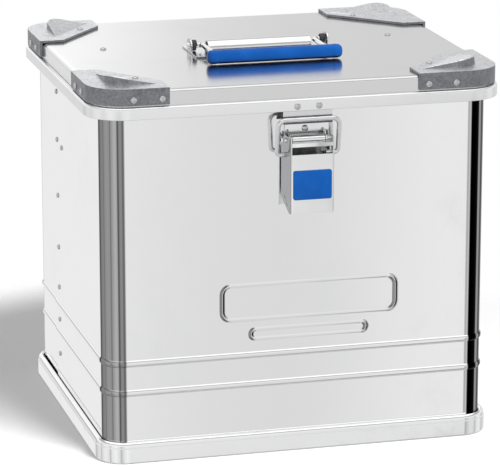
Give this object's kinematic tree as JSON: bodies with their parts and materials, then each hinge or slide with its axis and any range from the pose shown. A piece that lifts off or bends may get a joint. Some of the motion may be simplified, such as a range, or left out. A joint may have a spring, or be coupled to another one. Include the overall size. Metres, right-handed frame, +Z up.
{
  "type": "aluminium stacking case",
  "caption": "Bright sheet-metal transport case with a hinged lid, cast stacking corners, a folding lid handle with a blue grip and a front toggle latch.",
  "frame": {"origin": "middle of the rectangle the case stands on, on the floor", "axes": "+X along the case's width, to the right seen from the latch side; +Y from the latch to the rear hinges; +Z up"},
  "size_m": [0.432, 0.3926, 0.4023],
  "materials": {
    "sheet": "bright rolled sheet",
    "frame": "bright extrusion",
    "casting": "tumbled die casting",
    "rivet": "pressed rivet",
    "fitting": "zinc-plated pressed steel",
    "wire": "bright plated wire",
    "blue": "moulded",
    "rubber": "moulded"
  },
  "bodies": {
    "case": {"base_frame": "frame", "body_rim": "frame", "body_shell": "sheet", "bottom_panel": "sheet", "hinge_body_leaf_left": "fitting", "hinge_body_leaf_right": "fitting", "hinge_pin_left": "fitting", "hinge_pin_right": "fitting", "latch_base": "fitting", "latch_base_rivet_bottom": "rivet", "latch_base_rivet_top": "rivet", "latch_pin": "fitting"},
    "lid": {"corner_front_left": "casting", "corner_front_right": "casting", "corner_rear_left": "casting", "corner_rear_right": "casting", "corner_rivet_front_left_top": "rivet", "corner_rivet_front_left_x1": "rivet", "corner_rivet_front_left_x2": "rivet", "corner_rivet_front_left_y1": "rivet", "corner_rivet_front_left_y2": "rivet", "corner_rivet_front_right_top": "rivet", "corner_rivet_front_right_x1": "rivet", "corner_rivet_front_right_x2": "rivet", "corner_rivet_front_right_y1": "rivet", "corner_rivet_front_right_y2": "rivet", "corner_rivet_rear_left_top": "rivet", "corner_rivet_rear_left_x1": "rivet", "corner_rivet_rear_left_x2": "rivet", "corner_rivet_rear_left_y1": "rivet", "corner_rivet_rear_left_y2": "rivet", "corner_rivet_rear_right_top": "rivet", "corner_rivet_rear_right_x1": "rivet", "corner_rivet_rear_right_x2": "rivet", "corner_rivet_rear_right_y1": "rivet", "corner_rivet_rear_right_y2": "rivet", "handle_bracket": "fitting", "handle_bush_left": "rubber", "handle_bush_right": "rubber", "handle_rivet_front_left": "rivet", "handle_rivet_front_right": "rivet", "handle_rivet_rear_left": "rivet", "handle_rivet_rear_right": "rivet", "hinge_lid_leaf_left": "fitting", "hinge_lid_leaf_right": "fitting", "keeper_rivet_left": "rivet", "keeper_rivet_right": "rivet", "latch_keeper": "fitting", "lid_frame": "frame", "lid_gasket": "rubber", "lid_panel": "sheet", "strap_rivet_left": "rivet", "strap_rivet_right": "rivet", "strap_tab_left": "fitting", "strap_tab_right": "fitting"},
    "handle": {"handle_bail": "wire", "handle_grip": "blue"},
    "latch_lever": {"latch_inlay": "blue", "latch_lever": "fitting"},
    "latch_bail": {"latch_bail": "wire"}
  },
  "joints": [
    {"name": "lid_hinge", "type": "hinge", "parent": "case", "child": "lid", "pos_m": [0, 0.1923, 0.352], "axis": [-1, 0, 0], "range_deg": [0, 95]},
    {"name": "handle_hinge", "type": "hinge", "parent": "lid", "child": "handle", "pos_m": [0.0012, -0.008, 0.3948], "axis": [-1, 0, 0], "range_deg": [0, 90]},
    {"name": "latch_lever_hinge", "type": "hinge", "parent": "case", "child": "latch_lever", "pos_m": [0.0055, -0.1845, 0.329], "axis": [-1, 0, 0], "range_deg": [0, 120]},
    {"name": "latch_bail_hinge", "type": "hinge", "parent": "latch_lever", "child": "latch_bail", "pos_m": [0.0055, -0.1825, 0.314], "axis": [-1, 0, 0], "range_deg": [-150, 0]}
  ],
  "couplings": [
    {"joint": "latch_bail_hinge", "follows": "latch_lever_hinge", "ratio": -1.2}
  ]
}
